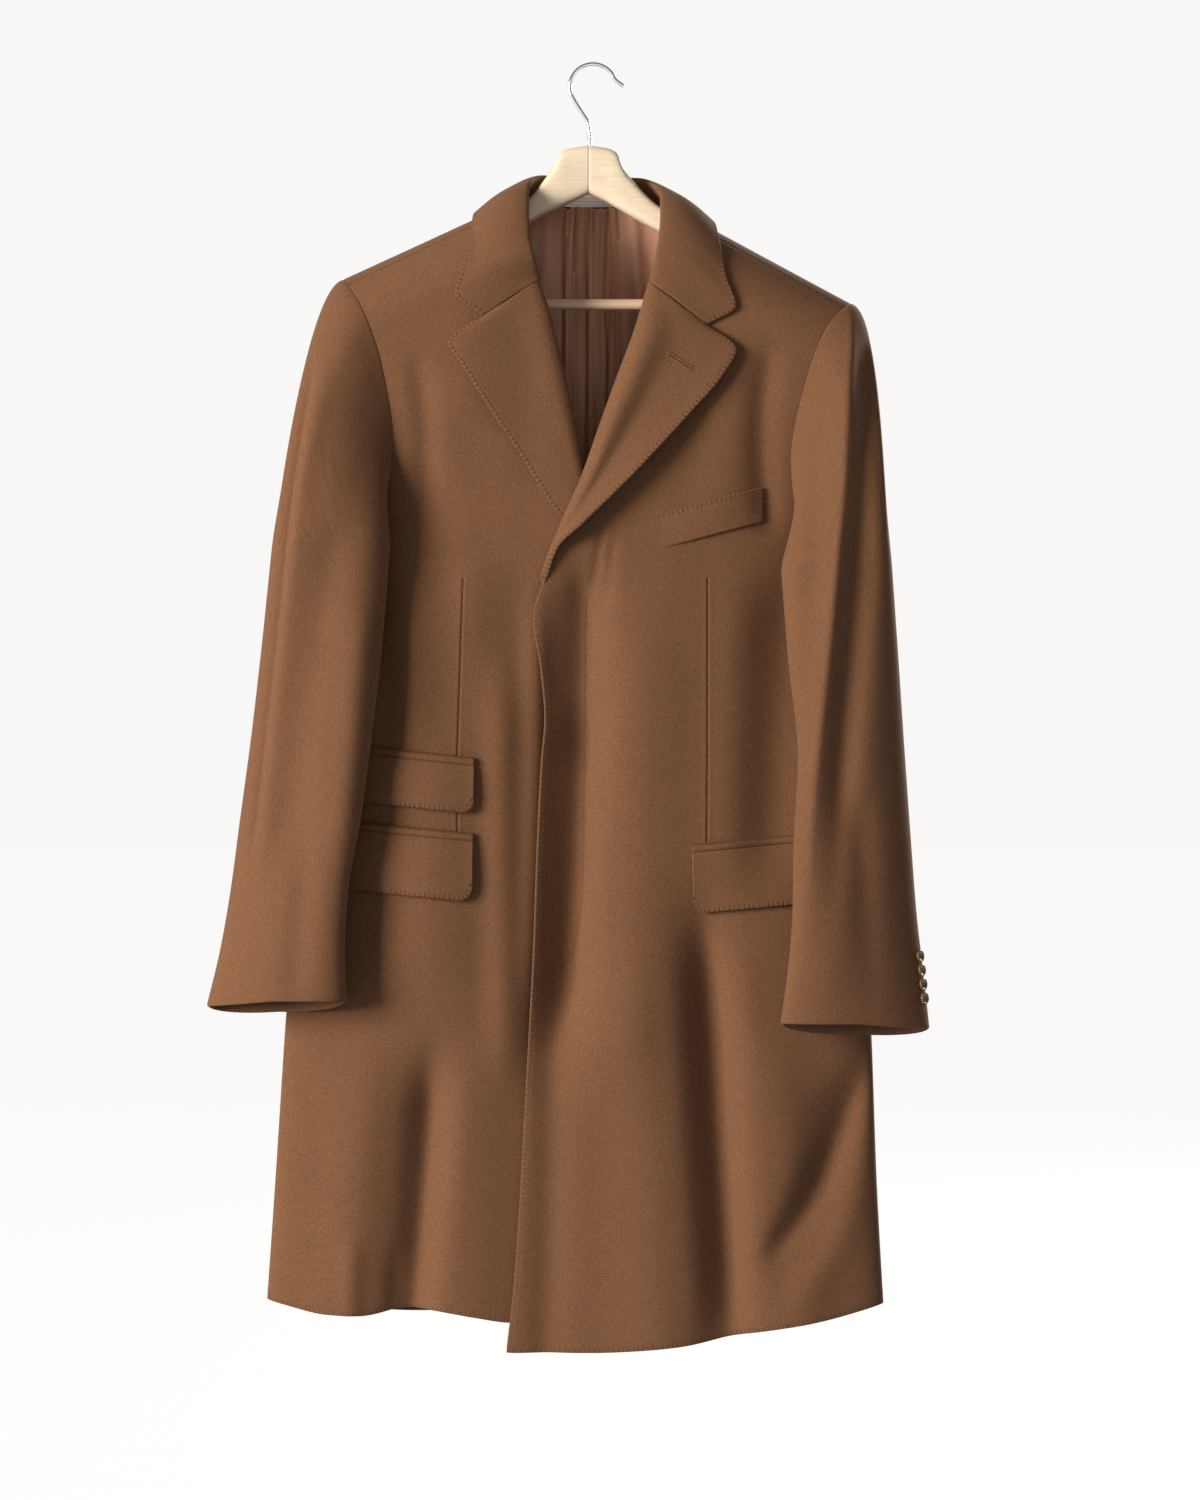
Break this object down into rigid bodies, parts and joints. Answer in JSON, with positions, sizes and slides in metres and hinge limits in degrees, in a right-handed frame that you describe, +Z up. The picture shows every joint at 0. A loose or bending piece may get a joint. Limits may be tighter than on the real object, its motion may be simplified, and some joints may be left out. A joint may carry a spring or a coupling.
{
  "type": "wool overcoat on a coat hanger",
  "caption": "Knee-length wool overcoat with notch lapels, fly front and flapped pockets, hanging by its hook on a wooden suit hanger.",
  "frame": {"origin": "inside of the hook's ring at its top, where a rod or peg carries the hanger", "axes": "+Z up, +Y from the fronts towards the back, +X towards the wearer's left"},
  "size_m": [0.6424, 0.1563, 1.1544],
  "materials": {
    "wool": "soft napped wool, fine vertical twill, matt with a faint sheen",
    "lining": "satin lining, soft sheen",
    "label": "plain ribbed satin tape, left bare",
    "horn": "polished horn, mottled",
    "wood": "pale wood, satin lacquer",
    "bar_wood": "pale wood, satin lacquer",
    "chrome": "bright chromed wire"
  },
  "bodies": {
    "root": {"front_right": "wool", "front_left": "wool", "back_right": "wool", "back_left": "wool", "sleeve_top_right": "wool", "sleeve_under_right": "wool", "sleeve_top_left": "wool", "sleeve_under_left": "wool", "lapel_right": "wool", "lapel_left": "wool", "collar": "wool", "ticket_jet": "wool", "ticket_flap": "wool", "hip_jet_right": "wool", "hip_flap_right": "wool", "hip_jet_left": "wool", "hip_flap_left": "wool", "breast_welt": "wool", "lining_back": "lining", "neck_label": "label", "cuff_button_right_1": "horn", "cuff_button_right_2": "horn", "cuff_button_right_3": "horn", "cuff_button_right_4": "horn", "cuff_button_left_1": "horn", "cuff_button_left_2": "horn", "cuff_button_left_3": "horn", "cuff_button_left_4": "horn", "hanger_hook": "chrome", "hanger_arm_right": "wood", "hanger_arm_left": "wood", "hanger_bar": "bar_wood"}
  },
  "joints": []
}
